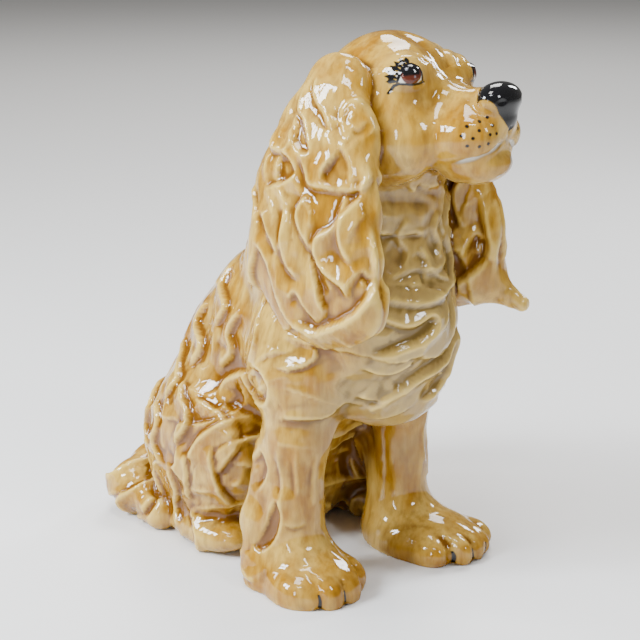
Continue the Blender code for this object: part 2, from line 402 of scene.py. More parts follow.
def noise(coords, size, seed):
    """Smooth noise from -1 to 1 over two or three coordinates."""
    cells, shares = [], []
    for axis in coords:
        scaled = axis / size
        cell = np.floor(scaled)
        share = scaled - cell
        cells.append(cell.astype(np.int64))
        shares.append(share * share * (3 - 2 * share))
    total = 0.0
    for corner in range(2 ** len(coords)):
        picks = [(corner >> k) & 1 for k in range(len(coords))]
        weight = 1.0
        for k, pick in enumerate(picks):
            weight = weight * (shares[k] if pick else 1 - shares[k])
        total = total + weight * hashed([c + p for c, p in zip(cells, picks)], seed)
    return total * 2 - 1


def cells_pattern(across, along, width, length, seed):
    """Nearest cell of a jittered pattern: distance to its border, place in it, its number."""
    u, v = across / width, along / length
    cu, cv = np.floor(u), np.floor(v)
    first, second = np.full(u.shape, 9.0), np.full(u.shape, 9.0)
    place_u, place_v, number = np.zeros(u.shape), np.zeros(u.shape), np.zeros(u.shape)
    for du in (-1, 0, 1):
        for dv in (-1, 0, 1):
            cell = [cu + du, cv + dv]
            gap_u = u - cell[0] - 0.12 - 0.76 * hashed(cell, seed)
            gap_v = v - cell[1] - 0.12 - 0.76 * hashed(cell, seed + 1)
            gap = np.hypot(gap_u, gap_v)
            second = np.minimum(second, np.maximum(first, gap))
            nearer = gap < first
            place_u, place_v = np.where(nearer, gap_u, place_u), np.where(nearer, gap_v, place_v)
            number = np.where(nearer, hashed(cell, seed + 2), number)
            first = np.minimum(first, gap)
    return second - first, place_u, place_v, number


def rise(value, start, end):
    """Smooth step from 0 at start to 1 at end."""
    share = np.clip((value - start) / (end - start), 0, 1)
    return share * share * (3 - 2 * share)


def hump(value, width):
    """Bell curve of height 1 round zero."""
    return np.exp(-(value / width) ** 2)


# ---- the fur

Lock = namedtuple("Lock", "width length wave ridge pocket tilt shingle")
EAR_LOCK = Lock(22.0, 64.0, 8.0, 0.5, 1.5, 3.2, 1.0)
FLANK_LOCK = Lock(30.0, 60.0, 9.0, 0.5, 1.8, 3.4, 1.5)
BIB_LOCK = Lock(30.0, 36.0, 5.0, 0.4, 2.0, 2.2, 4.4)

# Locks modelled one by one: crest height, crest width, then the points it runs through.
EAR_STROKES = (  # forward and up from the skull's middle
    (2.0, 2.2, (-9, 25), (-8, 14), (-1, 4), (6, -7)),
    (2.4, 2.0, (-18, 20), (-21, 7), (-14, -1), (-8, -17), (-14, -20), (-22, -12), (-26, -3)),
    (1.1, 2.0, (23, 6), (16, 9), (11, 3), (13, -8), (19, -13)),
    (1.0, 2.0, (19, 2), (16, -2), (20, -7), (25, -3)),
    (2.6, 2.2, (-15, -18), (-11, -30), (-9, -37), (4, -40), (20, -42), (27, -36), (25, -27)),
    (1.4, 2.0, (11, -13), (17, -25), (18, -38)),
    (2.4, 2.2, (-40, 0), (-42, -14), (-28, -18), (-19, -29), (-27, -36), (-51, -41)),
    (3.4, 2.6, (16, -43), (12, -56), (6, -64), (-4, -70), (-5, -83), (2, -91), (12, -99), (16, -108)),
    (2.4, 2.4, (28, -34), (22, -48), (13, -60), (12, -74), (17, -85)),
    (2.4, 2.4, (-11, -44), (-18, -54), (-14, -67), (-5, -81)),
    (2.0, 2.2, (-27, -51), (-31, -67), (-30, -84), (-20, -93)),
    (2.2, 2.4, (-49, -52), (-43, -64), (-36, -78)),
    (2.2, 2.4, (-57, -70), (-47, -84), (-42, -101), (-33, -120), (-23, -127)),
    (1.4, 1.6, (-4, -88), (2, -101)),
    (2.0, 2.0, (-32, -107), (-24, -101), (-18, -111), (-11, -122)),
    (2.0, 2.0, (11, -106), (15, -97), (22, -89), (27, -95)),
    (4.2, 3.6, (30, -62), (31, -90), (26, -107), (14, -118), (-4, -125), (-17, -128), (-30, -121)),
)
FLANK_STROKES = (  # y and z
    (3.0, 2.4, (72, 122), (62, 112), (52, 105), (49, 94), (62, 78)),
    (3.0, 2.4, (33, 116), (35, 128), (16, 138), (10, 128), (-2, 127), (-28, 130), (-38, 144),
     (-27, 155), (-2, 153)),
    (2.6, 2.4, (31, 113), (21, 106), (12, 95)),
    (1.8, 1.8, (52, 115), (31, 109), (23, 102)),
    (2.6, 2.2, (45, 71), (36, 89), (23, 102), (16, 106)),
    (2.6, 2.2, (27, 87), (25, 63), (24, 45), (25, 23)),
    (2.4, 2.2, (17, 100), (15, 85), (24, 66)),
    (1.8, 2.0, (49, 74), (48, 62), (53, 37)),
    (2.0, 2.0, (-14, 89), (-30, 82)),
    (2.2, 2.2, (18, 56), (0, 70), (-18, 74)),
    (2.6, 2.4, (61, 205), (62, 189), (43, 180), (54, 164)),
    (2.6, 2.4, (78, 175), (84, 159), (67, 147), (74, 131)),
    (2.6, 2.4, (23, 181), (34, 164), (29, 151), (43, 137)),
    (2.6, 2.4, (105, 142), (92, 130), (78, 121), (84, 106)),
    (2.4, 2.4, (100, 100), (88, 88), (92, 70), (80, 58)),
    (2.4, 2.4, (130, 110), (118, 92), (122, 74), (108, 60)),
    (2.4, 2.4, (70, 60), (66, 42), (76, 26), (68, 12)),
    (2.4, 2.4, (104, 46), (98, 30), (104, 12)),
)
BIB_STROKES = (  # x and z
    (1.4, 3.0, (-30, 224), (-11, 230), (5, 227), (22, 232)),
    (1.4, 2.6, (-16, 262), (-20, 250), (-14, 240), (-18, 228)),
    (1.4, 2.6, (10, 264), (6, 252), (12, 242), (8, 232)),
    (2.2, 3.2, (-34, 214), (-14, 209), (6, 211), (26, 217)),
    (3.6, 3.2, (-44, 206), (-21, 196), (-5, 201), (0, 194), (-9, 185), (-25, 179), (-38, 173)),
    (4.0, 3.6, (44, 186), (23, 164), (0, 156), (-12, 144), (-24, 128)),
    (2.6, 2.8, (36, 178), (32, 160), (24, 142), (8, 132)),
    (2.2, 2.6, (-38, 166), (-24, 162), (-14, 170)),
    (2.2, 2.6, (-32, 142), (-21, 139), (-14, 149)),
    (1.6, 2.4, (-7, 242), (-1, 233), (-6, 222)),
    (1.8, 2.4, (23, 244), (29, 230), (20, 217)),
)
LEG_STROKES = (  # round the leg from its front, and z
    (1.5, 1.8, (-13, 112), (-15, 95), (-13, 70)),
    (1.6, 1.8, (-24, 118), (-27, 98), (-24, 76), (-27, 60)),
    (1.3, 1.8, (-2, 104), (-1, 84), (-3, 62)),
    (1.0, 1.2, (-23, 52), (-16, 50), (-8, 52)),
    (2.8, 2.2, (-42, 30), (-35, 56), (-28, 68), (-24, 56), (-28, 40), (-36, 28), (-42, 32)),
    (2.6, 2.2, (-54, 84), (-45, 98), (-38, 86), (-44, 66)),
    (2.2, 2.0, (-48, 26), (-45, 14), (-35, 8)),
    (2.2, 2.0, (-58, 62), (-51, 42), (-55, 22)),
)
CALF = 20.0  # radius at which the leg is unrolled


def curve(points, pieces=5):
    """Smooth line through the points."""
    p = np.array([points[0], *points, points[-1]], float)
    out = []
    for k in range(1, len(p) - 2):
        for t in np.arange(pieces) / pieces:
            out.append(0.5 * (2 * p[k] + (p[k + 1] - p[k - 1]) * t
                              + (2 * p[k - 1] - 5 * p[k] + 4 * p[k + 1] - p[k + 2]) * t ** 2
                              + (3 * p[k] - p[k - 1] - 3 * p[k + 1] + p[k + 2]) * t ** 3))
    return np.array(out + [p[-1]])


def stroke_relief(u, v, strokes):
    """Crests that slope away on one side and drop to a hollow on the other, and how near one is."""
    relief, closeness = np.zeros(len(u)), np.zeros(len(u))
    for crest, width, *points in strokes:
        line = curve(points)
        reach = width * 7
        near = np.flatnonzero((u > line[:, 0].min() - reach) & (u < line[:, 0].max() + reach)
                              & (v > line[:, 1].min() - reach) & (v < line[:, 1].max() + reach))
        gap, place = np.full(len(near), FAR), np.zeros(len(near))
        left = np.zeros(len(near), bool)
        for k, (a, b) in enumerate(zip(line, line[1:])):
            t, here = nearest_on(a, b, (u[near], v[near]))
            (du, dv), span = (u[near] - a[0], v[near] - a[1]), b - a
            place = np.where(here < gap, (k + t) / (len(line) - 1), place)
            left = np.where(here < gap, span[0] * dv > span[1] * du, left)
            gap = np.minimum(gap, here)
        ends = rise(place, -0.02, 0.16) * rise(1 - place, -0.02, 0.16)
        slope = np.exp(-gap / (2.8 * width))
        brink = 1 - 1.5 * rise(gap, 0.1 * width, 1.3 * width)
        under = -0.5 * hump(gap - 1.3 * width, 3.2 * width)
        ledge = np.where(left, slope, np.where(gap < 1.3 * width, brink, under))
        relief[near] += ends * crest * ledge
        closeness[near] = np.maximum(closeness[near], hump(gap, width * 4.0))
    return relief, closeness


def hair(across, along, lock, seed):
    """Overlapping waved locks with thin raised borders round dished pockets."""
    phase = 1.7 * noise((across, along), lock.width * 3, seed)
    wave = lock.wave * np.sin(along / lock.length * 2 * pi + phase * 2)
    bend = lock.width * 0.8 * noise((across, along), lock.length * 0.8, seed + 3)
    slide = lock.length * 0.25 * noise((across, along), lock.width * 1.5, seed + 4)
    border, place_u, place_v, number = cells_pattern(
        across + wave + bend, along + slide, lock.width, lock.length, seed + 5)
    lean = np.where(number > 0.22, 1.0, -1.0)
    height = lock.ridge * hump(border, 0.13) - lock.pocket * rise(border, 0.02, 0.7)
    height += lock.tilt * place_u * lean + lock.shingle * place_v
    return height + 1.2 * (number - 0.5)


def strands(across, along, width, length, seed):
    """Fine streaks along the hair."""
    sway = width * 1.6 * noise((across, along), length * 0.6, seed + 1)
    return noise(((across + sway) / width, along / length), 1.0, seed)


EAR_SHIFT, COAT_SHIFT = 300.0, 500.0  # keep the left side's pattern unlike the right's


def ear_fur(points, normals):
    """Relief of the ears: modelled locks over a waved pattern, smooth at the root."""
    side, forward, up = head_frame(points)
    shift = np.where(side < 0, 0.0, EAR_SHIFT)
    across, along = forward + shift, -up
    bend = 2.5 * noise((across, along), 40.0, 13) * (shift > 0)
    strokes, closeness = stroke_relief(forward + bend, up, EAR_STROKES)
    locks = hair(across, along, EAR_LOCK, 11) * (1 - 0.7 * closeness)
    fine = strands(across + 0.25 * strokes, along, 3.0, 34, 12)
    facing = rise(np.abs((normals @ HEAD_TURN)[:, 0]), 0.15, 0.6)
    return (rise(along, -42, -14) * facing * (strokes + 0.4 * fine)
            + rise(along, -20, 10) * (0.35 + 0.65 * facing) * locks)


def coat_fur(points, normals, on_leg):
    """Relief of the nape, chest, flanks, haunches and tail, fading out over the forelegs."""
    x, y, z = points.T
    _, forward, up = head_frame(points)
    shift = np.where(x < 0, 0.0, COAT_SHIFT)
    along = 0.5 * y - 0.87 * z
    across = 0.87 * y + 0.5 * z + shift
    chest = rise(-normals[:, 1], 0.2, 0.65) * rise(-y, 5, 35)
    sideways = rise(np.abs(normals[:, 0]), 0.25, 0.6) * (1 - chest)
    bend = 4.0 * noise((y, z), 40.0, 23) * (shift > 0)
    side_strokes, side_close = stroke_relief(y + bend, z, FLANK_STROKES)
    front_strokes, front_close = stroke_relief(x + 0.1 * y, z, BIB_STROKES)
    flank = hair(across, along, FLANK_LOCK, 21) * (1 - 0.75 * side_close * sideways)
    bib = hair(x + 0.4 * y, -z, BIB_LOCK, 31) * (1 - 0.75 * front_close)
    fine = (1 - chest) * strands(across, along, 3.0, 34, 22) + chest * strands(x, -z, 3.4, 30, 32)
    nape = 0.8 * rise(-forward, 5, 32) * rise(-up, -30, 5)
    over_legs = np.maximum(on_leg, rise(-y, 0, 14))
    onto_legs = 1 - over_legs * (1 - rise(z, 92, 142))
    below_head = np.maximum(rise(-up, 38, 62), nape) * onto_legs
    strength = 0.45 + 0.55 * rise(-z, -190, -110)
    return below_head * ((1 - chest) * strength * flank + 1.2 * sideways * side_strokes
                         + chest * (bib + 1.3 * front_strokes) + 0.32 * fine)


def leg_fur(points, own):
    """Feathering down the forelegs, and grooves between the toes."""
    x, y, z = points.T
    relief = np.zeros(len(points))
    below_elbow = rise(-z, -114, -88)
    streaks = 0.4 * below_elbow * strands(x + y, -z, 6.0, 80, 41)
    for name in FORELEGS:
        forth, over, reach = on_paw(points, name)
        mine = own[name + "_foreleg"]
        around = -SIDES[name] * CALF * np.arctan2(over[mine], forth[mine])
        strokes, _ = stroke_relief(around, z[mine], LEG_STROKES)
        relief[mine] += streaks[mine] + 0.8 * below_elbow[mine] * strokes
        for line in CLAW_LINES[name]:
            slope = over - line * (1 - 0.35 * rise(-forth, -reach, 10))
            groove = hump(slope, 3.4) * rise(forth, -6, 26) * rise(-z, -30, -6)
            relief -= mine * 2.6 * groove
    return relief


COAT_BOTTOM = 80.0  # height on the forelegs below which there is no coat
SWELL, SWELL_SIZE = 0.8, 34.0  # unevenness that hand finishing leaves everywhere


def fur_height(points, normals, own):
    """Relief of the coat over the whole dog, in millimetres."""
    ear = own["right_ear"] | own["left_ear"]
    leg = own["right_foreleg"] | own["left_foreleg"]
    coat = ~ear & ~(leg & (points[:, 2] <= COAT_BOTTOM))
    height = leg_fur(points, own)
    height[ear] += ear_fur(points[ear], normals[ear])
    height[coat] += coat_fur(points[coat], normals[coat], leg[coat])
    return height + SWELL * noise(points.T, SWELL_SIZE, 51)


# ---- the face

EYE = (34.0, 41.0, 19.5)  # out, forward and up from the skull's middle
EYE_OUT = np.array([0.625, 0.755, 0.2]) / np.linalg.norm([0.625, 0.755, 0.2])
EYE_FRONT = np.array([-0.77, 0.638, 0.0])
EYE_UP = np.cross(EYE_OUT, EYE_FRONT)
PUPIL, PUPIL_RADIUS = (1.0, 2.4), 5.0
IRIS, IRIS_RADIUS = (1.0, 1.2), 6.2
UPPER_LID = ((-7.6, -2.6, 0.7), (-5.4, 2.2, 1.2), (-1.8, 6.2, 1.6), (2.6, 6.9, 1.5),
             (6.6, 4.6, 1.0), (7.8, 0.6, 0.8), (7.9, -4.0, 0.8))
LOWER_LID = ((-12.2, -7.4, 0.9), (-9.4, -4.2, 1.0), (-6.6, -3.7, 0.7), (0.6, -5.2, 0.7),
             (5.6, -5.1, 0.8), (9.6, -4.2, 0.5))
LASH_ROOTS = ((-7.8, -2.2), (-7.2, -0.4), (-6.2, 1.4), (-4.8, 3.4), (-3.2, 5.0), (-1.2, 6.2), (1.0, 6.8))
LASH_TIPS = ((-13.0, -0.8), (-13.4, 2.6), (-12.0, 5.4), (-9.8, 8.0), (-7.0, 10.2), (-3.6, 11.6), (0.2, 12.0))
LASH_WIDTH = 1.7
MOUTH = ((0, 85, -25), (8, 82, -27), (16, 75, -30), (22, 66, -34), (25, 56, -37), (26, 46, -38))
WHISKERS = ((16, 82, -9), (19, 77, -11), (15, 84, -14), (21, 77, -16), (17, 82, -19), (24, 71, -13),
            (25, 66, -18), (23, 73, -20), (14, 86, -19), (24, 69, -24), (21, 76, -25), (18, 81, -24))
CHIN_LINE = ((0, 84, -25), (5, 84, -28), (7, 82, -34), (2, 80, -40), (-4, 76, -44))
EYE_REACH = 14.0  # how far off the eye's plane it is still painted
GLINTS = ((-1.6, 3.8, 0.8), (2.6, -1.0, 0.5))  # painted reflections on the pupil: place on the eye, and radius
NOSTRIL, NOSTRIL_RADII = (11.0, 84.0, -1.0), (3.4, 7.0, 2.6)
PHILTRUM = ((0, 86, -18), (0, 85, -25))  # cleft between nose and mouth
BROW_ARCH = ((43, 12, 22), (38, 22, 33), (28, 31, 39), (17, 37, 36), (12, 42, 24))
FURROW = ((0, 20, 44), (0, 34, 36), (0, 44, 22), (0, 58, 10))  # between the brows
CREASES = ((MOUTH, 2.0, 1.9), (PHILTRUM, 1.6, 1.6), (FURROW, 2.4, 7.0))  # path, depth, width
WHITE = (0.72, 0.70, 0.64)
IRIS_BROWN = (0.10, 0.022, 0.012)
GLINT = (0.22, 0.22, 0.25)
MOUTH_PALE = (0.74, 0.72, 0.64)
BLACK = (0.006, 0.006, 0.007)


def path_cover(u, v, path, soft=0.3):
    """How far points lie inside a painted stroke whose width changes along it."""
    cover = np.zeros(len(u))
    for start, end in zip(path, path[1:]):
        cover = np.maximum(cover, rise(-segment_distance(start, end, (u, v)), -soft, soft))
    return cover


def path_gap(points, path):
    """Distance of points from a path through space."""
    nearest = np.full(len(points), FAR)
    for start, end in zip(path, path[1:]):
        nearest = np.minimum(nearest, nearest_on(start, end, points.T)[1])
    return nearest


def disc(u, v, centre, radius, soft=0.3):
    """1 inside a painted disc, 0 outside it."""
    return rise(radius - np.hypot(u - centre[0], v - centre[1]), -soft, soft)


def eye_plane(points):
    """Coordinates on the eye: towards the nose, up, and out of the surface."""
    local = half_head(points, BROW_DROP) - EYE
    return local @ EYE_FRONT, local @ EYE_UP, local @ EYE_OUT


def face_height(points, own):
    """Lids, nostrils, lips and creases carved into the head, in millimetres."""
    head, local = own["head_casting"], half_head(points)
    u, v, depth = eye_plane(points)
    near = (np.abs(depth) < EYE_REACH) & head
    ball = rise(8.0 - np.hypot(u - 0.6, (v - 0.6) * 1.25), 0, 4)
    socket = hump(np.hypot(u * 0.7, v) - 9.0, 2.6)
    height = near * (ball - 0.9 * socket)
    nostril = np.linalg.norm((local - NOSTRIL) / NOSTRIL_RADII, axis=1)
    height -= 1.6 * (1 - rise(nostril, 0.3, 1.3))
    lifted = half_head(points, BROW_DROP)
    arch = path_gap(lifted, BROW_ARCH)
    height += head * (1.1 * hump(arch, 3.2) - 0.7 * hump(arch - 5.0, 3.0) * (lifted[:, 2] > 26))
    for path, deep, wide in CREASES:
        height -= head * deep * hump(path_gap(local, path), wide)
    return height


def face_paint(points, own):
    """Colour and cover of the painted eyes, nose, mouth line and whisker dots, with painted reflections on
    the pupils.
    """
    local = half_head(points)
    out, forward, up = local.T
    head = own["head_casting"] & (forward > 10)
    colour = np.zeros((len(points), 3))
    cover = np.zeros(len(points))

    def paint(amount, tone):
        amount = np.clip(amount, 0, 1) * head
        colour[:] = colour * (1 - amount[:, None]) + np.array(tone) * amount[:, None]
        cover[:] = np.maximum(cover, amount)

    u, v, depth = eye_plane(points)
    near = np.abs(depth) < EYE_REACH
    opening = near * rise(7.9 - np.hypot((u - 0.4) * 0.95, (v - 0.4) * 1.42), -0.3, 0.3)
    paint(opening, WHITE)
    paint(opening * disc(u, v, IRIS, IRIS_RADIUS), IRIS_BROWN)
    paint(opening * disc(u, v, PUPIL, PUPIL_RADIUS) * rise(v, -0.6, 0.6), BLACK)
    paint(near * path_cover(u, v, UPPER_LID), BLACK)
    paint(near * path_cover(u, v, LOWER_LID), BLACK)
    for root, tip in zip(LASH_ROOTS, LASH_TIPS):
        middle = ((root[0] + tip[0]) / 2 - 0.5, (root[1] + tip[1]) / 2 + 0.5)
        lash = ((*root, 0.5), (*middle, LASH_WIDTH), (*tip, 0.35))
        paint(near * path_cover(u, v, lash), BLACK)
    for *spot, radius in GLINTS:
        paint(near * disc(u, v, spot, radius), GLINT)

    mouth = path_gap(local, MOUTH[:-1])
    paint(0.8 * (1 - rise(mouth, 1.0, 2.6)), MOUTH_PALE)
    chin = path_gap(np.stack(head_frame(points), 1), CHIN_LINE)
    paint(0.7 * (1 - rise(chin, 0.8, 2.8)), MOUTH_PALE)
    edge = nose_edge(out, up)
    paint(rise(edge, -0.35, 0.35) * rise(forward - 0.35 * out, 68.5, 69.5), BLACK)
    for spot in WHISKERS:
        gap = np.linalg.norm(local - spot, axis=1)
        paint(rise(9.0 - gap, 0, 0.6) * rise(1.0 - np.hypot(*dot_plane(local, spot)), -0.3, 0.3), BLACK)
    return colour, cover


def dot_plane(local, spot):
    """Offsets from a whisker dot across the side of the muzzle."""
    gap = local - spot
    return 0.55 * gap[:, 1] - 0.83 * gap[:, 0], gap[:, 2]


def nose_edge(out, up):
    """Positive inside the black nose, seen from the front: wide on top, pointed below."""
    half_width = np.interp(up, (-20, -14, -4, 3, 8), (0.0, 6.5, 14.0, 19.0, 21.0))
    return np.minimum(half_width - out, up + 19.5)


def claw_paint(points, own):
    """Black lines between the toes."""
    cover = np.zeros(len(points))
    for name in FORELEGS:
        forth, over, reach = on_paw(points, name)
        for line in CLAW_LINES[name]:
            stroke = rise(1.25 - 0.05 * points[:, 2] - np.abs(over - line), -0.35, 0.35)
            tall = rise(points[:, 2], 0.3, 1.0) * rise(-points[:, 2], -12.5, -11.5)
            cover = np.maximum(cover, own[name + "_foreleg"] * stroke * tall * (forth > reach * CLAW_START))
    return cover


# ---- finer face skin

def refined(points, quads, wanted, cuts):
    """Split the faces whose corners are all wanted into a finer grid."""
    mesh = bpy.data.meshes.new("skin")
    mesh.from_pydata(points.tolist(), [], quads.tolist())
    bm = bmesh.new()
    bm.from_mesh(mesh)
    bm.verts.ensure_lookup_table()
    chosen = wanted.tolist()
    edges = [e for e in bm.edges if chosen[e.verts[0].index] and chosen[e.verts[1].index]]
    bmesh.ops.subdivide_edges(bm, edges=edges, cuts=cuts, use_grid_fill=True)
    bmesh.ops.triangulate(bm, faces=[f for f in bm.faces if len(f.verts) > 4])
    bm.verts.index_update()
    places = np.array([v.co[:] for v in bm.verts])
    corners = [[v.index for v in f.verts] for f in bm.faces]
    bm.free()
    bpy.data.meshes.remove(mesh)
    return places, np.array([c if len(c) == 4 else c + c[-1:] for c in corners])


def fine_zone(points):
    """Where the paint needs a finer skin: eyes, muzzle and claws."""
    local = half_head(points)
    out, forward, up = local.T
    eye = np.linalg.norm((local - (36, 39, 19)) / (15, 19, 17), axis=1) < 1
    muzzle = (forward > 58) & (up > -44) & (up < 22) & (out < 40)
    claws = np.zeros(len(points), bool)
    for name in FORELEGS:
        forth, _, reach = on_paw(points, name)
        claws |= (forth > reach * CLAW_START) & (points[:, 2] < 15)
    return eye | muzzle | claws


# ---- the castings

def components(count, pairs):
    """Number of the connected group that each face belongs to."""
    label = np.arange(count)
    while True:
        low = np.minimum(label[pairs[:, 0]], label[pairs[:, 1]])
        better = label.copy()
        np.minimum.at(better, pairs[:, 0], low)
        np.minimum.at(better, pairs[:, 1], low)
        better = better[better]
        if (better == label).all():
            return label
        label = better


def face_pairs(faces):
    """Pairs of faces that share an edge."""
    ends, owner = sides_of(faces)
    ends = np.sort(ends, 1)
    order = np.lexsort((ends[:, 1], ends[:, 0]))
    ends, owner = ends[order], owner[order]
    same = (ends[1:] == ends[:-1]).all(1)
    return np.stack([owner[:-1][same], owner[1:][same]], 1)


def casting_of(points):
    """Which casting each point belongs to."""
    gaps = np.stack([distance_at(shapes, points) for shapes, _ in CASTINGS.values()], 1)
    own = gaps.argmin(1)
    trunk = own < 2
    own[trunk] = np.where(points[trunk, 2] > NECK_SEAM, 1, 0)
    return own


def tidy_labels(label, faces):
    """Give crumbs of a casting to the neighbour that surrounds them."""
    pairs = face_pairs(faces)
    for _ in range(4):
        same = pairs[label[pairs[:, 0]] == label[pairs[:, 1]]]
        group = components(len(faces), same)
        biggest = np.array([np.bincount(group[label == k]).argmax() for k in range(len(CASTINGS))])
        crumb = group != biggest[label]
        if not crumb.any():
            break
        for a, b in (pairs.T, pairs[:, ::-1].T):
            edge = crumb[a] & ~crumb[b]
            label[a[edge]] = label[b[edge]]
    return label


def boundary_loops(faces):
    """Closed loops of vertices round the open edges of a piece."""
    starts, ends = sides_of(faces)[0].T
    size = int(max(starts.max(), ends.max())) + 1
    forward = starts.astype(np.int64) * size + ends
    backward = ends.astype(np.int64) * size + starts
    open_edges = ~np.isin(backward, forward)
    follow = {}
    for a, b in zip(starts[open_edges].tolist(), ends[open_edges].tolist()):
        follow.setdefault(a, []).append(b)
    loops = []
    while follow:
        first = next(iter(follow))
        loop, here = [], first
        while here in follow:
            loop.append(here)
            nexts = follow[here]
            there = nexts.pop()
            if not nexts:
                del follow[here]
            here = there
        loops.append(loop)
    return loops


def world(points):
    return (points - MIDDLE) * MM


def linked(name, data):
    """New object in the scene."""
    thing = bpy.data.objects.new(name, data)
    bpy.context.scene.collection.objects.link(thing)
    return thing


def make_piece(name, faces, verts, normals, attributes, paint):
    """One closed casting: its share of the skin, with a cap inside each seam."""
    used, index = np.unique(faces, return_inverse=True)
    local = index.reshape(faces.shape)
    places = [verts[used]]
    directions = [normals[used]]
    caps = []
    total = len(used)
    for loop in boundary_loops(local):
        inset = verts[used[loop]] - normals[used[loop]] * SEAM_DEPTH
        places += [inset, inset.mean(0)[None]]
        directions += [normals[used[loop]], np.array([[0.0, 0.0, 1.0]])]
        ring = list(range(total, total + len(loop)))
        total += len(loop)
        for a, b, c, d in zip(loop, loop[1:] + loop[:1], ring[1:] + ring[:1], ring):
            caps += [(b, a, d, c), (c, d, total)]
        total += 1
    places, directions = np.concatenate(places), np.concatenate(directions)
    polygons = [tuple(dict.fromkeys(face)) for face in local.tolist()] + caps
    mesh = bpy.data.meshes.new(name)
    mesh.from_pydata(world(places).tolist(), [], polygons)
    mesh.shade_smooth()
    mesh.normals_split_custom_set_from_vertices(directions.tolist())
    for key, values in attributes.items():
        padded = np.zeros(total, np.float32)
        padded[:len(used)] = values[used]
        layer = mesh.attributes.new(key, "FLOAT", "POINT")
        layer.data.foreach_set("value", padded)
    tones = np.ones((total, 4), np.float32)
    tones[:len(used), :3] = paint[used]
    layer = mesh.attributes.new("paint", "FLOAT_COLOR", "POINT")
    layer.data.foreach_set("color", tones.ravel())
    return linked(name, mesh)


# ---- materials

HONEY = (0.43, 0.223, 0.011)
CARAMEL = (0.31, 0.134, 0.0045)
AMBER = (0.145, 0.052, 0.0018)  # where the glaze lies deepest
CREAM = (0.74, 0.52, 0.13)  # where it thins over a ridge
BEIGE = (0.38, 0.272, 0.10)  # the bib
BEIGE_POOL = (0.18, 0.112, 0.028)
GLOSS, GLAZE_IOR = 0.045, 1.5
WASHES = {"cream_glaze": 0.0, "honey_glaze": 0.15, "caramel_glaze": 0.4}  # share of caramel
SLOTS = {"body_casting": "cream_glaze", "right_ear": "caramel_glaze", "left_ear": "caramel_glaze"}


def plain_material(name):
    """New material and its shader."""
    material = bpy.data.materials.new(name)
    material.use_nodes = True
    return material, material.node_tree.nodes["Principled BSDF"]


def glaze_material(name, wash):
    """Glaze layered by nodes, dark where it pools in hollows and cream where it thins on ridges, with
    painted shade that darkens the lower body.
    """
    material, shader = plain_material(name)
    nodes, links = material.node_tree.nodes, material.node_tree.links
    place = nodes.new("ShaderNodeTexCoord").outputs["Object"]

    def made(kind, output, inputs, **settings):
        """Output of a new node whose inputs are given as numbers or as other nodes' outputs."""
        node = nodes.new("ShaderNode" + kind)
        for key, value in settings.items():
            setattr(node, key, value)
        for key, value in inputs.items():
            if isinstance(value, bpy.types.NodeSocket):
                links.new(value, node.inputs[key])
            else:
                node.inputs[key].default_value = value
        return node.outputs[output]

    def attribute(key, output="Fac"):
        return made("Attribute", output, {}, attribute_name=key)

    def clouds(size, detail, low, high, stretch=(1, 1, 1)):
        """Noise with features of a size in metres, from 0 to 1 between two levels."""
        spread = made("Mapping", "Vector", {"Vector": place, "Scale": stretch})
        grain = made("TexNoise", "Fac", {"Vector": spread, "Scale": 1 / size, "Detail": detail})
        return made("MapRange", "Result", {"Value": grain, "From Min": low, "From Max": high})

    def scaled(value, share):
        return made("Math", 0, {0: value, 1: share}, operation="MULTIPLY")

    def mix(factor, *colours):
        """The first colour, covered by the second as far as the factor says."""
        first, second = ((*c, 1.0) if isinstance(c, tuple) else c for c in colours)
        return made("Mix", 2, {0: factor, 6: first, 7: second}, data_type="RGBA")

    mottle = clouds(0.020, 4.0, 0.45, 0.60)
    patch = clouds(0.046, 3.0, 0.47, 0.62)
    streak = clouds(0.008, 5.0, 0.43, 0.64, (1.0, 1.0, 0.30))
    brush = clouds(0.0036, 3.0, 0.46, 0.66, (1.0, 1.0, 0.22))
    stain = clouds(0.015, 5.0, 0.52, 0.72, (1.0, 1.0, 0.55))
    # the "low" layer is painted shade: the lower body, which gets less light, is turned towards caramel
    layers = ((mottle, 0.85, CARAMEL), (attribute("low"), 0.6, CARAMEL), (patch, 0.42, CREAM),
              (streak, 0.28, CREAM), (brush, 0.35, AMBER), (stain, 0.42, AMBER),
              (attribute("bib"), 0.72, BEIGE))
    ground = tuple(h + (c - h) * wash for h, c in zip(HONEY, CARAMEL))
    for cover, share, tone in layers:
        ground = mix(scaled(cover, share), ground, tone)
    pool = mix(attribute("bib"), AMBER, BEIGE_POOL)
    colour = mix(attribute("pool"), ground, pool)
    colour = mix(attribute("ridge"), colour, CREAM)
    colour = mix(attribute("painted"), colour, attribute("paint", "Color"))
    links.new(colour, shader.inputs["Base Color"])
    shader.inputs["Roughness"].default_value = GLOSS
    shader.inputs["IOR"].default_value = GLAZE_IOR

    ripple = made("TexNoise", "Fac", {"Vector": place, "Scale": 130.0, "Detail": 1.0})
    bump = made("Bump", "Normal", {"Height": ripple, "Strength": 0.2, "Distance": 0.001})
    links.new(bump, shader.inputs["Normal"])
    return material


# ---- camera, light

VIEW_AZIMUTH, VIEW_ELEVATION, VIEW_DISTANCE = -32.0, 16.0, 1000.0
AIM = np.array([-31.0, -37.0, 185.0])
LENS, SENSOR = 85.6, 36.0
LAMPS_AIM = np.array([0.0, 0.0, 180.0])

COOL, MILD, SKY, WARM = (0.88, 0.94, 1.0), (0.92, 0.96, 1.0), (0.95, 0.97, 1.0), (1.0, 0.98, 0.95)
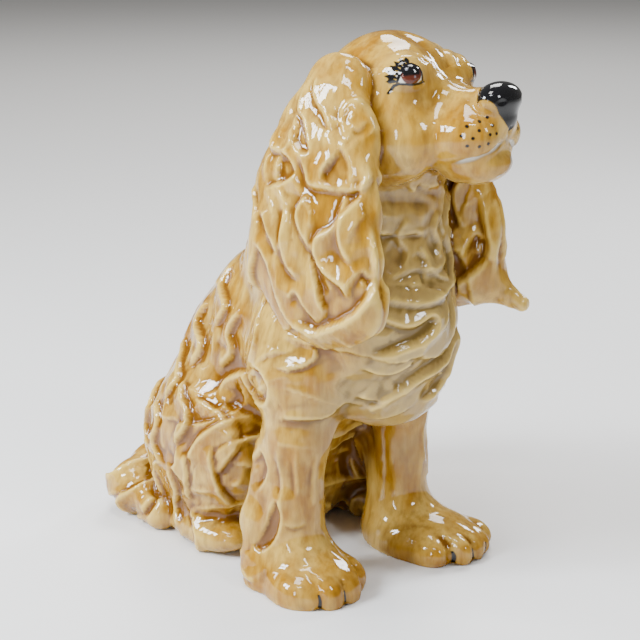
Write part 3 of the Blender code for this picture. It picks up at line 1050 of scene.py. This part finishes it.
# Soft lights: azimuth, elevation, distance, width and height in metres, watts, colour.
WINDOWS = {
    "left_pane": (-104, 34, 1500, 0.22, 0.46, 22, COOL),
    "right_pane": (-91, 34, 1500, 0.22, 0.46, 22, COOL),
    "low_strip": (-58, 14, 1600, 0.10, 0.55, 5, MILD),
    "high_strip": (-38, 58, 1600, 0.42, 0.10, 5, MILD),
    "side_strip": (-132, 22, 1600, 0.12, 0.50, 6, MILD),
    "front_window": (12, 36, 1700, 0.20, 0.40, 8, (0.93, 0.96, 1.0)),
    "far_window": (104, 32, 1700, 0.25, 0.45, 12, SKY),
    "skylight": (-60, 78, 1600, 0.45, 0.45, 14, WARM),
    "back_window": (140, 52, 4000, 1.5, 1.5, 110, WARM)}
BACKDROP_TONE, BACKDROP_STRENGTH = (1.0, 0.97, 0.92), 0.22
FLOOR_TONE, FLOOR_SIZE = (0.82, 0.82, 0.82), 12.0  # floor's side in metres


def away(azimuth, elevation):
    """Unit vector from the dog towards a viewer or a light."""
    a, e = radians(azimuth), radians(elevation)
    return np.array([sin(a) * cos(e), -cos(a) * cos(e), sin(e)])


def point_at(thing, place, target):
    """Put a lamp or the camera at a place and turn it to a target."""
    thing.location = Vector(world(place))
    aim = Vector(world(target)) - thing.location
    thing.rotation_euler = aim.to_track_quat("-Z", "Y").to_euler()


def add_camera():
    data = bpy.data.cameras.new("camera")
    data.lens = LENS
    data.sensor_width = SENSOR
    data.clip_start = 0.01
    camera = linked("camera", data)
    point_at(camera, AIM + away(VIEW_AZIMUTH, VIEW_ELEVATION) * VIEW_DISTANCE, AIM)
    bpy.context.scene.camera = camera


def add_window(name, azimuth, elevation, distance, width, height, power, colour):
    """Rectangular soft light, which the glaze mirrors as a window."""
    data = bpy.data.lights.new(name, "AREA")
    data.shape = "RECTANGLE"
    data.size, data.size_y = width, height
    data.energy = power
    data.color = colour
    point_at(linked(name, data), LAMPS_AIM + away(azimuth, elevation) * distance, LAMPS_AIM)


def add_floor():
    """Plain pale floor that the figurine stands on."""
    mesh = bpy.data.meshes.new("floor")
    half = FLOOR_SIZE / 2
    corners = [(-half, -half, 0), (half, -half, 0), (half, half, 0), (-half, half, 0)]
    mesh.from_pydata(corners, [], [(0, 1, 2, 3)])
    material, shader = plain_material("pale_floor")
    shader.inputs["Base Color"].default_value = (*FLOOR_TONE, 1.0)
    shader.inputs["Roughness"].default_value = 0.7
    mesh.materials.append(material)
    linked("floor", mesh)


def add_studio():
    for name, settings in WINDOWS.items():
        add_window(name, *settings)
    scene_world = bpy.data.worlds.new("studio")
    bpy.context.scene.world = scene_world
    scene_world.use_nodes = True
    backdrop = scene_world.node_tree.nodes["Background"]
    backdrop.inputs["Color"].default_value = (*BACKDROP_TONE, 1.0)
    backdrop.inputs["Strength"].default_value = BACKDROP_STRENGTH
    add_floor()


# ---- assembly

def outward_of(points, quads):
    """Unit direction of the carved skin at each of its points."""
    a = points[quads[:, 2]] - points[quads[:, 0]]
    b = points[quads[:, 3]] - points[quads[:, 1]]
    flat = np.cross(a, b)
    total = np.stack([sum(np.bincount(quads[:, j], weights=flat[:, k], minlength=len(points))
                          for j in range(4)) for k in range(3)], 1)
    return total / np.maximum(np.linalg.norm(total, axis=1, keepdims=True), 1e-9)


def smooth_skin():
    """Vertices, faces and outward directions of the skin before it is carved."""
    coarse, quads = surface_nets(skin_grid(LOW, HIGH), LOW)
    verts, faces = refined(coarse, quads, fine_zone(coarse), FINE_CUTS)
    normals = slope_at(verts)
    fresh = np.arange(len(verts)) >= len(coarse)
    verts[fresh] -= skin_distance(verts[fresh])[:, None] * normals[fresh]
    return verts, faces, normals


def owned_vertices(label, faces, count):
    """Which vertices belong to each casting."""
    vertex_label = np.zeros(count, int)
    vertex_label[faces.ravel()] = np.repeat(label, 4)
    return {name: vertex_label == k for k, name in enumerate(CASTINGS)}


BROW, CHEEK = (32, 34, 28), (32, 46, 4)  # out, forward and up, as for the eyes
STOP = ((-4, 8, 48), (0, 30, 40), (2, 44, 24), (0, 58, 12))  # dip from forehead to bridge


def face_glaze(verts, head):
    """Where glaze pools round the stop and the cheeks, and where it thins over the brows."""
    brow = np.linalg.norm(half_head(verts, BROW_DROP) - BROW, axis=1)
    cheek = np.linalg.norm(half_head(verts) - CHEEK, axis=1)
    stop = path_gap(np.stack(head_frame(verts), 1), STOP)
    pool = np.maximum(0.55 * hump(stop, 9.0), 0.3 * hump(cheek, 11.0))
    return head * pool, 0.45 * hump(brow, 16.0) * head


def bib_cover(verts, normals, own, ragged):
    """The pale front of the chest, between the forelegs and below the chin."""
    _, _, up = head_frame(verts)
    return (rise(-normals[:, 1], 0.0, 0.6) * rise(-verts[:, 1] + ragged, 0, 50)
            * rise(-up + ragged, 40, 85) * rise(verts[:, 2] + 1.6 * ragged, 70, 150)
            * rise(-np.abs(verts[:, 0] - 8) + ragged, -62, -28)
            * ~(own["right_ear"] | own["left_ear"]))


def glaze_layers(verts, normals, carved, shading, edges, own):
    """What the glaze's colour follows at each vertex: how low it is, for painted shade on the lower body,
    where it pools, thins or turns pale.
    """
    near = relaxed(carved, edges, 6)
    wide = relaxed(near, edges, 30)
    hollow_fine = ((near - carved) * shading).sum(1)
    hollow_wide = ((wide - carved) * shading).sum(1)
    ragged = 22 * noise(verts.T, 26.0, 61)
    # painted shade: darker towards the bottom, where less light falls
    low = rise(-verts[:, 2] + ragged, -250, -90)
    depth = 1.0 + 0.8 * low  # painted shade: hollows lower down, which get less light, are darkened more
    face_pool, face_ridge = face_glaze(verts, own["head_casting"])
    pool = rise(depth * (hollow_fine * 1.1 + hollow_wide * 0.7), -0.05, 1.0)
    ridge = 0.75 * rise(-hollow_fine - 0.3 * hollow_wide, 0.1, 1.0)
    return {"low": low, "pool": np.maximum(pool, face_pool), "ridge": np.maximum(ridge, face_ridge),
            "bib": bib_cover(verts, normals, own, ragged)}


verts, faces, normals = smooth_skin()
label = tidy_labels(casting_of(verts[faces].mean(1)), faces)
own = owned_vertices(label, faces, len(verts))
edges = edges_of(faces)
height = relaxed(fur_height(verts, normals, own), edges, 2) + face_height(verts, own)
carved = verts + normals * height[:, None]
carved[:, 2] = np.maximum(carved[:, 2], 0.0)
shading = outward_of(carved, faces)
paint, painted = face_paint(verts, own)
claws = claw_paint(verts, own)
paint[claws > 0] = BLACK
attributes = glaze_layers(verts, normals, carved, shading, edges, own)
attributes["painted"] = np.maximum(painted, claws)

materials = {slot: glaze_material(slot, wash) for slot, wash in WASHES.items()}
for number, name in enumerate(CASTINGS):
    piece = make_piece(name + "_skin", faces[label == number], carved, shading, attributes, paint)
    slot = SLOTS.get(name, "honey_glaze")
    piece.data.materials.append(materials[slot])
    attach(piece, "root")
    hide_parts(name)

add_camera()
add_studio()
